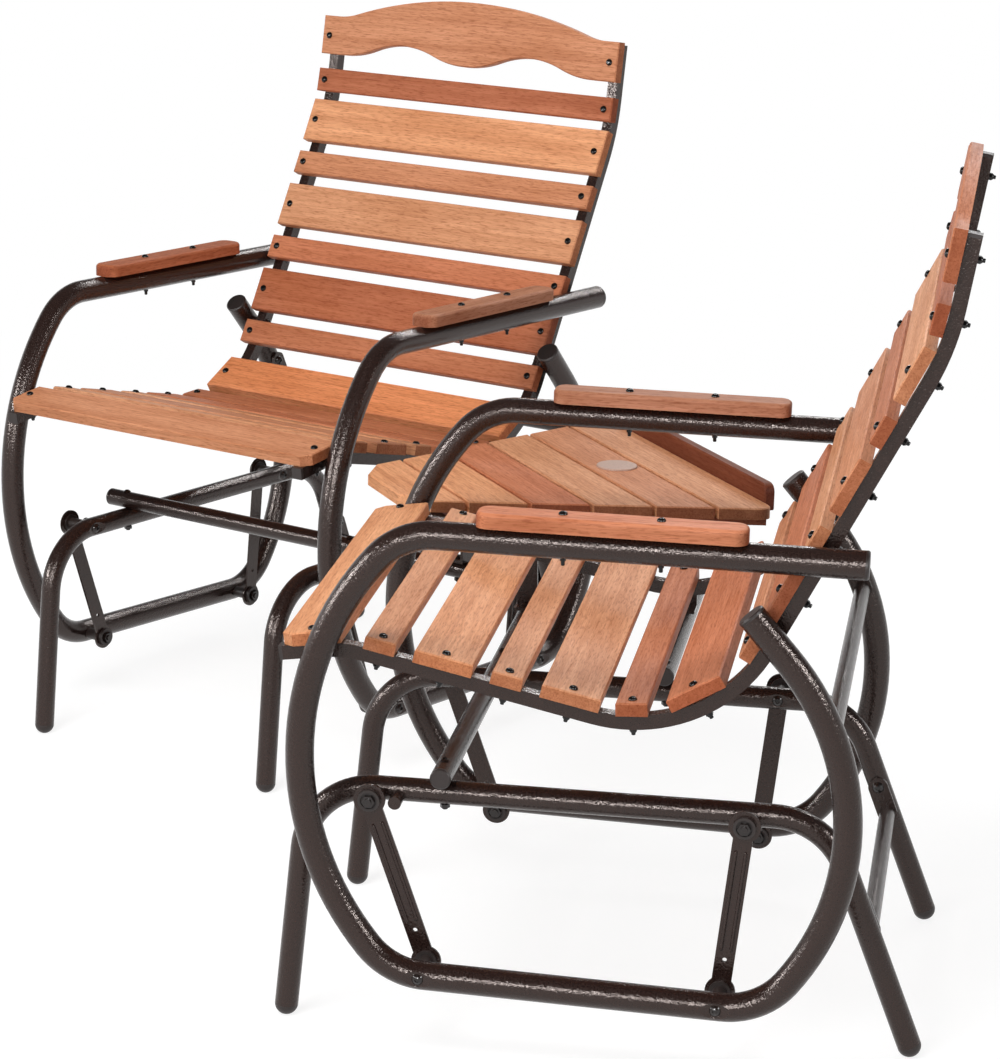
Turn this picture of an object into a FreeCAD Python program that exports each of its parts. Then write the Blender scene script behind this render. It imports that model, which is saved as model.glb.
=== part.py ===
import FreeCAD, Part
import math
import os
from FreeCAD import Placement, Rotation, Vector

# Tete-a-tete glider bench: two glider chairs at an angle with a slatted corner table between them.
# Millimetres and degrees, X to the right, Y to the back, Z up, ground at Z = 0.
# One chair is drawn in its own frame: x across, y to the back, z up, plus x on the side away from
# the table. It is then turned and set in place as the right chair, and mirrored for the left chair.

# Layout
chair_turn = 31.2
chair_spread = 384.5

# Side frames: one bent round tube each
frame_tube = 31.8
frame_wall = 1.6
frame_half = 292.0
frame_bend = 85.0
arm_end_y = 602.0
arm_end_z = 588.0
arm_fall = 1.5
front_arc_y = 339.0
front_arc_z = 340.5
front_arc = 348.0
lower_rail_z = 93.1
lower_rail_fall = 2.35
rear_arc_y = 299.0
rear_arc_z = 292.0
rear_arc = 292.0
rear_arc_end = 40.0
rear_tail = 60.0

# Slat rails: square tube bent to the seat and back profile
rail_size = 16.0
rail_wall = 1.5
rail_gap = 8.1
rail_front_y = -32.0
rail_front_z = 451.7
rail_lip_y = 35.8
rail_lip_z = 460.15
rail_lip_bend = 150.0
rail_crook_y = 438.05
rail_crook_z = 366.95
rail_crook_bend = 172.0
rail_bow_y = 680.0
rail_bow_z = 816.4
rail_bow_bend = 280.0
rail_top_y = 701.8
rail_top_z = 935.2

# Slats, placed by their distance along the rail
slat_side_gap = 2.1
slat_thick = 15.0
slat_wide = 66.0
slat_narrow = 35.0
slat_ease = 1.6
slat_clip = 12.0
seat_first = 35.4
seat_count = 6
seat_to_crook = 81.5
crook_slat = 475.8
crook_to_back = 92.3
back_count = 7
crest_below_top = 22.6

# Crest slat outline, heights from its bolt line
crest_foot = 28.0
crest_shoulder = 30.0
crest_rise = 38.0
crest_end_flat = 28.8
crest_sweep = 110.0
crest_wave_height = 22.0
crest_wave_in = 42.0
crest_wave_run = 114.0

# Arm boards
arm_board_length = 291.0
arm_board_width = 40.0
arm_board_thick = 17.0
arm_board_corner = 15.0
arm_board_round = 5.0
arm_board_y = 333.0

# Base frames: one bent round tube each
base_tube = 27.0
base_wall = 1.5
base_half = 207.0
base_bend = 85.0
front_foot_y = -47.0
front_top_y = -17.2
front_top_z = 281.4
rear_top_y = 564.0
rear_top_z = 271.8
rear_foot_y = 660.9
foot_flat = 0.8

# Links, pivots and stops
link_thick = 3.0
link_width = 22.0
link_eye = 36.0
link_lower_eye = 34.0
link_bead = 2.0
link_bead_apart = 11.0
link_bead_top = 30.0
link_bead_low = 50.0
link_hole = 5.0
link_hole_up = 38.0
base_pivot_front_y = 60.0
base_pivot_rear_y = 477.0
seat_pivot_front_y = 123.4
seat_pivot_rear_y = 453.1
sleeve = 14.0
spacer = 16.0
flange = 25.0
flange_thick = 2.5
cup_bore = 18.5
cup_rim = 2.5
open_play = 4.2
stop_pin = 15.0
stop_pin_y = 87.0
stop_pin_drop = 4.7
stop_pin_gap = 3.8

# Bolts
pivot_bolt = 8.0
pivot_head = 13.0
pivot_head_high = 3.5
pivot_nut = 13.0
pivot_nut_high = 6.5
dish_floor = 15.0
dish_mouth = 34.0
dish_deep = 3.0
frame_bolt = 8.0
frame_head = 14.0
frame_head_high = 5.0
frame_nut = 13.0
frame_nut_high = 6.5
frame_spacer = 14.0
carry_bolt = 6.0
carry_head = 11.0
carry_head_high = 3.0
carry_nut = 10.0
carry_nut_high = 4.0
bolt_tail = 2.0
socket_across = 5.0
socket_deep = 2.2

# Braces with flattened ends
brace_tube = 19.0
brace_wall = 1.5
brace_tab = 4.0
brace_tab_width = 24.0
brace_tab_reach = 34.0
seat_brace_z = 397.0
leg_brace_z = 140.0

# Tubes that carry the table
cross_tube = 24.0
cross_wall = 1.5
cross_y = 138.0
cross_overhang = 28.0
cross_inner_end = 490.0
support_y = 340.0
support_overhang = 22.0
support_inner_end = 560.0
post_width = 26.0
post_thick = 4.0
post_flange = 34.0
post_bolt_in = 17.0

# Table
table_front_y = 172.0
table_front_z = 466.0
table_fall = 1.49
table_slat = 68.0
table_gap = 5.0
table_slat_count = 6
table_thick = 15.0
table_front_half = 55.0
table_clip = 28.0
table_half = 89.2
table_side = 22.0
table_corner = 16.0
cleat_width = 50.0
cleat_thick = 8.0
cleat_inset = 5.0
cleat_front = 24.0
cleat_rear = 10.0
board_half = 229.0
board_thick = 14.0
board_above = 23.5
board_below = 11.0
board_corner = 12.0
umbrella_hole = 45.0
umbrella_back = 3.5
umbrella_disc = 54.0
umbrella_disc_high = 2.5
umbrella_plug_deep = 14.0

# End plugs and fits
plug_thick = 4.0
plug_depth = 14.0
plug_ease = 1.5
running_play = 0.05
side_play = 0.1
bolt_play = 0.2
plug_play = 0.4
seat_play = 0.05

across = Vector(1, 0, 0)
upward = Vector(0, 0, 1)

# Places across the chair: rails and slats fit between the side tubes, links run midway between the
# side tubes and the base tubes
frame_inside = frame_half - frame_tube / 2
frame_outside = frame_half + frame_tube / 2
base_inside = base_half - base_tube / 2
base_outside = base_half + base_tube / 2
rail_half = frame_inside - rail_gap - rail_size / 2
rail_inside = rail_half - rail_size / 2
slat_length = 2 * (frame_inside - slat_side_gap)
link_plane = (base_outside + frame_inside) / 2
link_in = link_plane - link_thick / 2
link_out = link_plane + link_thick / 2
seat_last = crook_slat - seat_to_crook
back_first = crook_slat + crook_to_back


def pt(y, z, x=0.0):
    return Vector(x, y, z)


def heading(angle):
    """Unit direction in the y-z plane, angle from plus y towards plus z."""
    return pt(math.cos(math.radians(angle)), math.sin(math.radians(angle)))


def arc(centre, start, end):
    """Shorter arc about a centre."""
    middle = ((start - centre) + (end - centre)).normalize()
    return Part.Arc(start, centre + middle * start.distanceToPoint(centre), end).toShape()


def bent_path(points, bends):
    """Straight runs joined by tangent arcs, one bend radius for each inner corner."""
    edges = []
    start = points[0]
    for i in range(1, len(points) - 1):
        back = (points[i - 1] - points[i]).normalize()
        ahead = (points[i + 1] - points[i]).normalize()
        half = back.getAngle(ahead) / 2
        first = points[i] + back * (bends[i - 1] / math.tan(half))
        last = points[i] + ahead * (bends[i - 1] / math.tan(half))
        centre = points[i] + (back + ahead).normalize() * (bends[i - 1] / math.sin(half))
        edges.append(Part.makeLine(start, first))
        edges.append(arc(centre, first, last))
        start = last
    edges.append(Part.makeLine(start, points[-1]))
    return edges


def bend_to_arc(run_point, run_way, inward, big_centre, big_radius, radius):
    """Bend that touches a straight run and, from inside, a larger arc: centre and both touch points."""
    first = run_point + inward * radius
    offset = first - big_centre
    along = offset.dot(run_way)
    reach = math.sqrt(along ** 2 - offset.dot(offset) + (big_radius - radius) ** 2)
    centre = first + run_way * (reach - along)
    outward = (centre - big_centre).normalize()
    return centre, centre - inward * radius, big_centre + outward * big_radius


def disc(point, way, diameter):
    return Part.Face(Part.Wire(Part.makeCircle(diameter / 2, point, way)))


def square(point, way, size):
    side = across.cross(way) * (size / 2)
    out = across * (size / 2)
    corners = [point + side + out, point + side - out, point - side - out, point - side + out]
    return Part.Face(Part.makePolygon(corners + corners[:1]))


def solid_sweep(path, section, size):
    start = path[0].valueAt(path[0].FirstParameter)
    way = path[0].tangentAt(path[0].FirstParameter)
    return Part.Wire(path).makePipe(section(start, way, size))


def swept(path, section, size, wall):
    """Hollow tube of a section along a path of edges."""
    bore = solid_sweep(path, section, size - 2 * wall)
    return solid_sweep(path, section, size).cut(bore)


def rod(point, way, diameter, length):
    return Part.makeCylinder(diameter / 2, length, point, way)


def pressed_dish(body, skin, crown, out, wall):
    """Tube whose wall is pressed in at a point of its crown to a flat round seat for a bolt head."""
    flank = math.atan2(dish_deep, (dish_mouth - dish_floor) / 2)
    pocket_high = 2 * dish_deep
    backing_high = pocket_high + wall
    floor_radius = dish_floor / 2
    backing_radius = floor_radius + wall * math.tan(flank / 2)
    pocket = Part.makeCone(floor_radius, floor_radius + pocket_high / math.tan(flank), pocket_high,
                           crown - out * dish_deep, out)
    backing = Part.makeCone(backing_radius, backing_radius + backing_high / math.tan(flank), backing_high,
                            crown - out * (dish_deep + wall), out)
    return body.fuse(skin.common(backing)).cut(pocket).removeSplitter()


def turned(steps, bore):
    """Stepped round piece along x from a list of (x, diameter) runs, with a bore through it."""
    outline = [pt(0, bore / 2, steps[0][0])]
    for i in range(len(steps) - 1):
        outline.append(pt(0, steps[i][1] / 2, steps[i][0]))
        outline.append(pt(0, steps[i][1] / 2, steps[i + 1][0]))
    outline.append(pt(0, bore / 2, steps[-1][0]))
    face = Part.Face(Part.makePolygon(outline + outline[:1]))
    return face.revolve(Vector(0, 0, 0), across, 360)


def hexagon(across_flats, x, high):
    corners = []
    for i in range(7):
        turn = math.radians(60 * i)
        corners.append(pt(math.cos(turn), math.sin(turn)) * (across_flats / math.sqrt(3)) + across * x)
    return Part.Face(Part.makePolygon(corners)).extrude(across * high)


def bolt(size, head, head_high, grip, nut, nut_high):
    """Dome-headed bolt along x with a socket and a nut: head above x = 0, nut below x = -grip."""
    end = -grip - nut_high - bolt_tail
    crown = pt(0, 0, head_high)
    rim = pt(0, head / 2)
    bulge = (head ** 2 / 4 + head_high ** 2) / (2 * head_high)
    dome = arc(pt(0, 0, head_high - bulge), rim, crown)
    outline = [crown, pt(0, 0, end), pt(0, size / 2, end), pt(0, size / 2), rim]
    face = Part.Face(Part.Wire(Part.makePolygon(outline).Edges + [dome]))
    body = face.revolve(Vector(0, 0, 0), across, 360)
    body = body.cut(hexagon(socket_across, head_high - socket_deep, socket_deep))
    return body.fuse(hexagon(nut, -grip - nut_high, nut_high)).removeSplitter()


def set_along(shape, point, way):
    """Copy of a piece drawn along x, moved so that x follows a direction."""
    copy = shape.copy()
    copy.Placement = Placement(point, Rotation(across, way))
    return copy


def nut_seat(bore):
    """How far from the middle of a tube's bore the flat side of a blind nut meets the wall."""
    return math.sqrt(bore ** 2 / 4 - frame_nut ** 2 / 3) - bolt_play


def inside_bolt(at, head_x, nut_x):
    """Bolt with its head on the inner side and a blind nut inside the tube wall."""
    body = bolt(frame_bolt, frame_head, frame_head_high, nut_x - head_x, frame_nut, frame_nut_high)
    return set_along(body, at + across * head_x, across * -1)


def stadium(first, last, width):
    """Flat piece with round ends in the y-z plane."""
    run = (last - first).normalize()
    side = across.cross(run) * (width / 2)
    tip = run * (width / 2)
    edges = [
        Part.makeLine(first + side, last + side),
        Part.Arc(last + side, last + tip, last - side).toShape(),
        Part.makeLine(last - side, first - side),
        Part.Arc(first - side, first - tip, first + side).toShape(),
    ]
    return Part.Face(Part.Wire(edges))


def top_edges(shape):
    level = shape.BoundBox.ZMax - 0.01
    return [edge for edge in shape.Edges if edge.BoundBox.ZMin > level]


def other_side(shape):
    return shape.mirror(Vector(0, 0, 0), across)


def both_sides(shapes):
    return shapes + [other_side(shape) for shape in shapes]


def end_plug(point, way, size, wall):
    """Round end plug: a cap on the tube end and a spigot inside it; way points out of the tube."""
    cap = rod(point, way, size, plug_thick)
    cap = cap.makeChamfer(plug_ease, [max(cap.Edges, key=lambda edge: edge.CenterOfMass.dot(way))])
    spigot = rod(point - way * plug_depth, way, size - 2 * (wall + plug_play), plug_depth)
    return cap.fuse(spigot).removeSplitter()


def square_plug(point, way):
    cap = square(point, way, rail_size).extrude(way * plug_thick)
    inner = rail_size - 2 * (rail_wall + plug_play)
    return cap.fuse(square(point, way, inner).extrude(way * -plug_depth)).removeSplitter()


# Side frame path, from the rear end of the arm round the front to the free rear end
arm_way = heading(180 - arm_fall)
arm_end = pt(arm_end_y, arm_end_z)
lower_way = heading(-lower_rail_fall)
lower_point = pt(seat_pivot_front_y, lower_rail_z)
front_centre = pt(front_arc_y, front_arc_z)
rear_centre = pt(rear_arc_y, rear_arc_z)
arm_down = heading(270 - arm_fall)
lower_up = heading(90 - lower_rail_fall)
top_bend = bend_to_arc(arm_end, arm_way, arm_down, front_centre, front_arc, frame_bend)
low_bend = bend_to_arc(lower_point, lower_way * -1, lower_up, front_centre, front_arc, frame_bend)
tail_bend = bend_to_arc(lower_point, lower_way, lower_up, rear_centre, rear_arc, frame_bend)
tail_start = rear_centre + heading(rear_arc_end) * rear_arc
tail_way = heading(rear_arc_end + 90)
frame_tip = tail_start + tail_way * rear_tail
arm_run = Part.makeLine(arm_end, top_bend[1])
front_run = arc(front_centre, top_bend[2], low_bend[2])
rear_run = arc(rear_centre, tail_bend[2], tail_start)
tail_run = Part.makeLine(tail_start, frame_tip)
frame_path = [
    arm_run,
    arc(top_bend[0], top_bend[1], top_bend[2]),
    front_run,
    arc(low_bend[0], low_bend[2], low_bend[1]),
    Part.makeLine(low_bend[1], tail_bend[1]),
    arc(tail_bend[0], tail_bend[1], tail_bend[2]),
    rear_run,
    tail_run,
]

# Slat rail path, from the front of the seat to the top of the back
rail_path = bent_path(
    [pt(rail_front_y, rail_front_z), pt(rail_lip_y, rail_lip_z), pt(rail_crook_y, rail_crook_z),
     pt(rail_bow_y, rail_bow_z), pt(rail_top_y, rail_top_z)],
    [rail_lip_bend, rail_crook_bend, rail_bow_bend])
rail_length = sum(edge.Length for edge in rail_path)
rail_start = pt(rail_front_y, rail_front_z)
rail_start_way = (pt(rail_lip_y, rail_lip_z) - rail_start).normalize()
rail_end = pt(rail_top_y, rail_top_z)
rail_end_way = (rail_end - pt(rail_bow_y, rail_bow_z)).normalize()

# Base frame path, from the front foot to the rear foot
foot_z = base_tube / 2 - foot_flat
base_corners = [pt(front_foot_y, foot_z), pt(front_top_y, front_top_z),
                pt(rear_top_y, rear_top_z), pt(rear_foot_y, foot_z)]
base_path = bent_path(base_corners, [base_bend, base_bend])
rear_leg_up = (base_corners[2] - base_corners[3]).normalize()


def on_line(first, last, y):
    return first + (last - first) * ((y - first.y) / (last.y - first.y))


def crossing(run):
    """Where a run of the side frame crosses the slat rail, seen from the side."""
    return run.distToShape(Part.Wire(rail_path))[1][0][0]


frame_joints = [crossing(front_run), crossing(Part.Wire([rear_run, tail_run])), crossing(arm_run)]
base_pivots = [on_line(base_corners[1], base_corners[2], base_pivot_front_y),
               on_line(base_corners[1], base_corners[2], base_pivot_rear_y)]
seat_pivots = [on_line(lower_point, lower_point + lower_way, seat_pivot_front_y),
               on_line(lower_point, lower_point + lower_way, seat_pivot_rear_y)]

# Seat brace and leg brace: a tube across the chair with a flat tab along each side tube
seat_brace_at = pt(rear_arc_y + math.sqrt(rear_arc ** 2 - (seat_brace_z - rear_arc_z) ** 2), seat_brace_z)
seat_tab_bolt = rear_centre + heading(
    math.degrees(math.atan2(seat_brace_at.z - rear_arc_z, seat_brace_at.y - rear_arc_y)
                 + brace_tab_reach / rear_arc)) * rear_arc
leg_brace_at = base_corners[3] + rear_leg_up * ((leg_brace_z - foot_z) / rear_leg_up.z)
leg_tab_bolt = leg_brace_at + rear_leg_up * brace_tab_reach


def tab_brace(at, tab_bolt, face):
    """Brace between two flat tabs whose outer faces lie at x = -face and x = face."""
    tube = rod(at - across * (face - brace_tab), across, brace_tube, 2 * (face - brace_tab))
    tab = stadium(at, tab_bolt, brace_tab_width).extrude(across * brace_tab)
    tab.translate(across * (face - brace_tab))
    hole = rod(tab_bolt - across * face, across, frame_bolt + 2 * bolt_play, 2 * face)
    bore = rod(at - across * face, across, brace_tube - 2 * brace_wall, 2 * face)
    return tube.multiFuse([tab, other_side(tab)]).cut(hole).cut(bore).removeSplitter()


seat_brace = tab_brace(seat_brace_at, seat_tab_bolt, frame_inside)
leg_brace = tab_brace(leg_brace_at, leg_tab_bolt, base_inside)

# Side frame, slat rail and their bolts
frame_tube_body = swept(frame_path, disc, frame_tube, frame_wall)
frame_tube_body.translate(across * frame_half)
rail_body = swept(rail_path, square, rail_size, rail_wall)
rail_body.translate(across * rail_half)
frame_bolts = []
frame_nut_x = frame_half - nut_seat(frame_tube - 2 * frame_wall)
for at in frame_joints:
    hole = rod(at, across, frame_bolt + 2 * bolt_play, frame_half)
    frame_tube_body = frame_tube_body.cut(hole)
    rail_body = rail_body.cut(hole)
    frame_bolts.append(inside_bolt(at, rail_inside, frame_nut_x))
    collar = turned([(rail_half + rail_size / 2, frame_spacer), (frame_inside, 0)],
                    frame_bolt + 2 * bolt_play)
    collar.translate(at)
    frame_bolts.append(collar)
frame_tube_body = frame_tube_body.cut(rod(seat_tab_bolt, across, frame_bolt + 2 * bolt_play, frame_half))
frame_bolts.append(inside_bolt(seat_tab_bolt, frame_inside - brace_tab, frame_nut_x))
frame_skin = solid_sweep(frame_path, disc, frame_tube)
frame_skin.translate(across * frame_half)
for at in seat_pivots:
    crown = at + across * frame_outside
    frame_tube_body = pressed_dish(frame_tube_body, frame_skin, crown, across, frame_wall)
    frame_tube_body = frame_tube_body.cut(rod(at, across, pivot_bolt + 2 * bolt_play, 2 * frame_half))
frame_plugs = []
for plug in (end_plug(arm_end, arm_way * -1, frame_tube, frame_wall),
             end_plug(frame_tip, tail_way, frame_tube, frame_wall)):
    plug.translate(across * frame_half)
    frame_plugs.append(plug)
for plug in (square_plug(rail_start, rail_start_way * -1), square_plug(rail_end, rail_end_way)):
    plug.translate(across * rail_half)
    frame_plugs.append(plug)


def rail_at(station):
    """Point, direction and sitter's side of the slat rail at a distance along it."""
    left = station
    for edge in rail_path:
        if left <= edge.Length:
            break
        left -= edge.Length
    where = edge.getParameterByLength(left)
    way = edge.tangentAt(where)
    return edge.valueAt(where), way, Vector(0, -way.z, way.y)


def set_on_rail(shape, station, width):
    """Move a slat drawn flat to its place on the rail; in a hollow bend its edges rest on the rail."""
    point, way, out = rail_at(station)
    lift = rail_size / 2
    for i in range(-30, 31):
        nearby = min(max(station + i * width / 50, 0), rail_length)
        other, _, other_out = rail_at(nearby)
        offset = other + other_out * (rail_size / 2) - point
        if abs(offset.dot(way)) < width / 2 + slat_ease:
            lift = max(lift, offset.dot(out))
    angle = math.degrees(math.atan2(way.z, way.y))
    shape.Placement = Placement(point + out * (lift + seat_play), Rotation(across, angle))
    return shape


def slat(width, clip):
    half = slat_length / 2
    corners = [Vector(-half + clip, -width / 2, 0), Vector(half - clip, -width / 2, 0),
               Vector(half, -width / 2 + clip, 0), Vector(half, width / 2, 0),
               Vector(-half, width / 2, 0), Vector(-half, -width / 2 + clip, 0)]
    if clip == 0:
        corners = [corners[0], corners[1], corners[3], corners[4]]
    board = Part.Face(Part.makePolygon(corners + corners[:1])).extrude(upward * slat_thick)
    return board.makeChamfer(slat_ease, top_edges(board))


def wave(start, end):
    """Two equal arcs that leave and arrive level."""
    dx = end.x - start.x
    dy = end.y - start.y
    radius = (dx ** 2 + dy ** 2) / (4 * abs(dy))
    turn = math.copysign(radius, dy)
    middle = (start + end) * 0.5
    return [arc(start + Vector(0, turn, 0), start, middle), arc(end - Vector(0, turn, 0), middle, end)]


def crest():
    """Crest slat: a low arch with swept shoulders over a waved lower edge."""
    half = slat_length / 2
    reach = half - crest_end_flat
    arch_radius = (reach ** 2 + crest_rise ** 2) / (2 * crest_rise) - crest_sweep
    arch = Vector(0, crest_shoulder + crest_rise - arch_radius, 0)
    sweep = Vector(reach, crest_shoulder + crest_sweep, 0)
    touch = arch + (sweep - arch).normalize() * arch_radius
    shoulder = Vector(reach, crest_shoulder, 0)
    low = Vector(half - crest_wave_in, -crest_foot, 0)
    rise = low + Vector(-crest_wave_run, crest_wave_height, 0)
    dip = Vector(0, -crest_foot, 0)
    right = [Part.makeLine(shoulder, Vector(half, crest_shoulder, 0)),
             Part.makeLine(Vector(half, crest_shoulder, 0), Vector(half, -crest_foot, 0)),
             Part.makeLine(Vector(half, -crest_foot, 0), low)]
    right += [arc(sweep, shoulder, touch)] + wave(low, rise) + wave(rise, dip)
    left = [other_side(edge) for edge in right]
    top = Part.Arc(touch, Vector(0, crest_shoulder + crest_rise, 0), Vector(-touch.x, touch.y, 0)).toShape()
    outline = Part.Wire(Part.__sortEdges__(right + left + [top]))
    board = Part.Face(outline).extrude(upward * slat_thick)
    return board.makeChamfer(slat_ease, top_edges(board))


seat_wide = []
seat_narrow = []
for i in range(seat_count):
    station = seat_first + i * (seat_last - seat_first) / (seat_count - 1)
    if i % 2 == 0:
        seat_wide.append(set_on_rail(slat(slat_wide, slat_clip if i == 0 else 0), station, slat_wide))
    else:
        seat_narrow.append(set_on_rail(slat(slat_narrow, 0), station, slat_narrow))
crest_station = rail_length - crest_below_top
back_wide = [set_on_rail(slat(slat_wide, 0), crook_slat, slat_wide)]
back_narrow = []
for i in range(back_count):
    station = back_first + i * (crest_station - back_first) / back_count
    if i % 2 == 1:
        back_wide.append(set_on_rail(slat(slat_wide, 0), station, slat_wide))
    else:
        back_narrow.append(set_on_rail(slat(slat_narrow, 0), station, slat_narrow))
crest_slat = set_on_rail(crest(), crest_station, 2 * crest_foot)


def rounded_outline(half_length, half_width, corner):
    """Wire of a rectangle with round corners in the x-y plane."""
    edges = []
    for i, (sx, sy) in enumerate(((1, 1), (-1, 1), (-1, -1), (1, -1))):
        centre = Vector(sx * (half_length - corner), sy * (half_width - corner), 0)
        edges.append(Part.makeCircle(corner, centre, upward, 90 * i, 90 * i + 90))
    sides = []
    for i in range(4):
        first = edges[i].valueAt(edges[i].LastParameter)
        following = edges[(i + 1) % 4]
        sides.append(Part.makeLine(first, following.valueAt(following.FirstParameter)))
    return Part.Wire(Part.__sortEdges__(edges + sides))


arm_outline = rounded_outline(arm_board_width / 2, arm_board_length / 2, arm_board_corner)
arm_board = Part.Face(arm_outline).extrude(upward * arm_board_thick)
arm_board = arm_board.makeFillet(arm_board_round, top_edges(arm_board))
arm_middle = on_line(arm_end, arm_end + arm_way, arm_board_y) + across * frame_half
arm_board.Placement = Placement(arm_middle - arm_down * (frame_tube / 2 + seat_play),
                                Rotation(across, -arm_fall))


# Links and pivots: the rear link's lower eye is the open pivot of the linkage
def stiffening_bead(start, way, length):
    """Round bead with ball ends, turned about its own axis."""
    end = start + way * length
    out = across * link_bead
    bow = (across + way).normalize() * link_bead
    rear_bow = (across - way).normalize() * link_bead
    tips = [start - way * link_bead, end + way * link_bead]
    edges = [Part.makeLine(tips[0], tips[1]),
             Part.Arc(tips[1], end + bow, end + out).toShape(),
             Part.makeLine(end + out, start + out),
             Part.Arc(start + out, start + rear_bow, tips[0]).toShape()]
    return Part.Face(Part.Wire(edges)).revolve(start, way, 360)


def link(upper, lower, lower_bore):
    way = (lower - upper).normalize()
    side = across.cross(way)
    length = upper.distanceToPoint(lower)
    plate = stadium(upper, lower, link_width).extrude(across * link_thick)
    plate = plate.multiFuse([rod(upper, across, link_eye, link_thick),
                             rod(lower, across, link_lower_eye, link_thick)]).removeSplitter()
    beads = []
    for sign in (-1, 1):
        start = upper + way * link_bead_top + side * (sign * link_bead_apart / 2) + across * link_thick
        beads.append(stiffening_bead(start, way, length - link_bead_top - link_bead_low))
    plate = plate.multiFuse(beads)
    holes = [rod(upper - across, across, sleeve + 2 * running_play, 2 * link_thick),
             rod(lower - across, across, lower_bore, 2 * link_thick),
             rod(lower - way * link_hole_up - across, across, link_hole, 2 * link_thick)]
    for hole in holes:
        plate = plate.cut(hole)
    plate.translate(across * link_in)
    return plate


front_link = link(base_pivots[0], seat_pivots[0], sleeve + 2 * running_play)
rear_link = link(base_pivots[1], seat_pivots[1], sleeve + 2 * open_play)
flange_in = link_in - side_play
flange_out = link_out + side_play
washer_in = flange_in - flange_thick
washer_out = flange_out + flange_thick
pivot_bore = pivot_bolt + 2 * running_play
base_bush = [turned([(base_outside, spacer), (washer_in, flange), (flange_in, sleeve), (flange_out, 0)],
                    pivot_bore),
             turned([(flange_out, flange), (washer_out, 0)], pivot_bore).fuse(
                 turned([(washer_out, flange), (washer_out + cup_rim, 0)], cup_bore)).removeSplitter()]
seat_bush = [turned([(flange_in, sleeve), (flange_out, flange), (washer_out, spacer), (frame_inside, 0)],
                    pivot_bore),
             turned([(washer_in, flange), (flange_in, 0)], pivot_bore).fuse(
                 turned([(washer_in - cup_rim, flange), (washer_in, 0)], cup_bore)).removeSplitter()]
base_head_seat = base_inside + dish_deep
seat_head_seat = frame_outside - dish_deep
base_grip = washer_out - base_head_seat
seat_grip = seat_head_seat - washer_in
base_pin = bolt(pivot_bolt, pivot_head, pivot_head_high, base_grip, pivot_nut, pivot_nut_high)
seat_pin = bolt(pivot_bolt, pivot_head, pivot_head_high, seat_grip, pivot_nut, pivot_nut_high)
base_bushings = []
seat_bushings = []
base_pins = []
seat_pins = []
for at in base_pivots:
    base_bushings += [set_along(piece, at, across) for piece in base_bush]
    base_pins.append(set_along(base_pin, at + across * base_head_seat, across * -1))
for at in seat_pivots:
    seat_bushings += [set_along(piece, at, across) for piece in seat_bush]
    seat_pins.append(set_along(seat_pin, at + across * seat_head_seat, across))

# Tubes that carry the table rest across the base rails
cross_base = on_line(base_corners[1], base_corners[2], cross_y)
support_base = on_line(base_corners[1], base_corners[2], support_y)
tilt = math.cos(math.atan2(rear_top_z - front_top_z, rear_top_y - front_top_y))
stack = (base_tube + cross_tube) / 2 / tilt
cross_z = cross_base.z + stack
support_z = support_base.z + stack
cross_outer_end = base_half + cross_overhang
support_outer_end = base_half - support_overhang
chair_place = Placement(Vector(chair_spread, 0, 0), Rotation(upward, -chair_turn))
side_slope = math.tan(math.radians(table_side))
cleat_out = cleat_inset / math.cos(math.radians(table_side))
cleat_in = (cleat_inset + cleat_width) / math.cos(math.radians(table_side))


def table_edge(y):
    return table_half + side_slope * y


def post_spot(y):
    """Distance across the chair at which a tube passes under the middle line of the cleat."""
    start = chair_place.multVec(pt(y, 0))
    way = chair_place.Rotation.multVec(across * -1)
    middle_line = table_edge(start.y - table_front_y) - (cleat_out + cleat_in) / 2
    return (middle_line - start.x) / (way.x - side_slope * way.y)


def carrier(y, z, outer_x, inner_x, bolt_xs):
    """Straight hollow tube across the chair with upright bolt holes."""
    path = [Part.makeLine(pt(y, z, outer_x), pt(y, z, -inner_x))]
    body = rod(path[0].valueAt(0), across * -1, cross_tube, outer_x + inner_x)
    body = body.cut(rod(path[0].valueAt(0), across * -1, cross_tube - 2 * cross_wall, outer_x + inner_x))
    for x in bolt_xs:
        body = body.cut(rod(pt(y, z - cross_tube, x), upward, carry_bolt + 2 * bolt_play, 2 * cross_tube))
    return body


cross_body = carrier(cross_y, cross_z, cross_outer_end, cross_inner_end,
                     [base_half, -base_half, -post_spot(cross_y)])
support_body = carrier(support_y, support_z, -support_outer_end, support_inner_end,
                       [-base_half, -post_spot(support_y)])
base_plugs = [end_plug(pt(cross_y, cross_z, cross_outer_end), across, cross_tube, cross_wall),
              end_plug(pt(cross_y, cross_z, -cross_inner_end), across * -1, cross_tube, cross_wall),
              end_plug(pt(support_y, support_z, -support_outer_end), across, cross_tube, cross_wall),
              end_plug(pt(support_y, support_z, -support_inner_end), across * -1, cross_tube, cross_wall)]
rail_grip = cross_tube / 2 + stack + base_tube / 2 + bolt_play
rail_bolt = bolt(carry_bolt, carry_head, carry_head_high, rail_grip, carry_nut, carry_nut_high)
post_bolt = bolt(carry_bolt, carry_head, carry_head_high, cross_tube + post_thick, carry_nut, carry_nut_high)
base_bolts = [set_along(rail_bolt, pt(cross_y, cross_z + cross_tube / 2, base_half), upward),
              set_along(rail_bolt, pt(cross_y, cross_z + cross_tube / 2, -base_half), upward),
              set_along(rail_bolt, pt(support_y, support_z + cross_tube / 2, -base_half), upward)]
for y, z in ((cross_y, cross_z), (support_y, support_z)):
    base_bolts.append(set_along(post_bolt, pt(y, z + cross_tube / 2 + post_thick, -post_spot(y)), upward))
base_nut_x = base_half - nut_seat(base_tube - 2 * base_wall)
base_bolts += both_sides([inside_bolt(leg_tab_bolt, base_inside - brace_tab, base_nut_x)])

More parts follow.
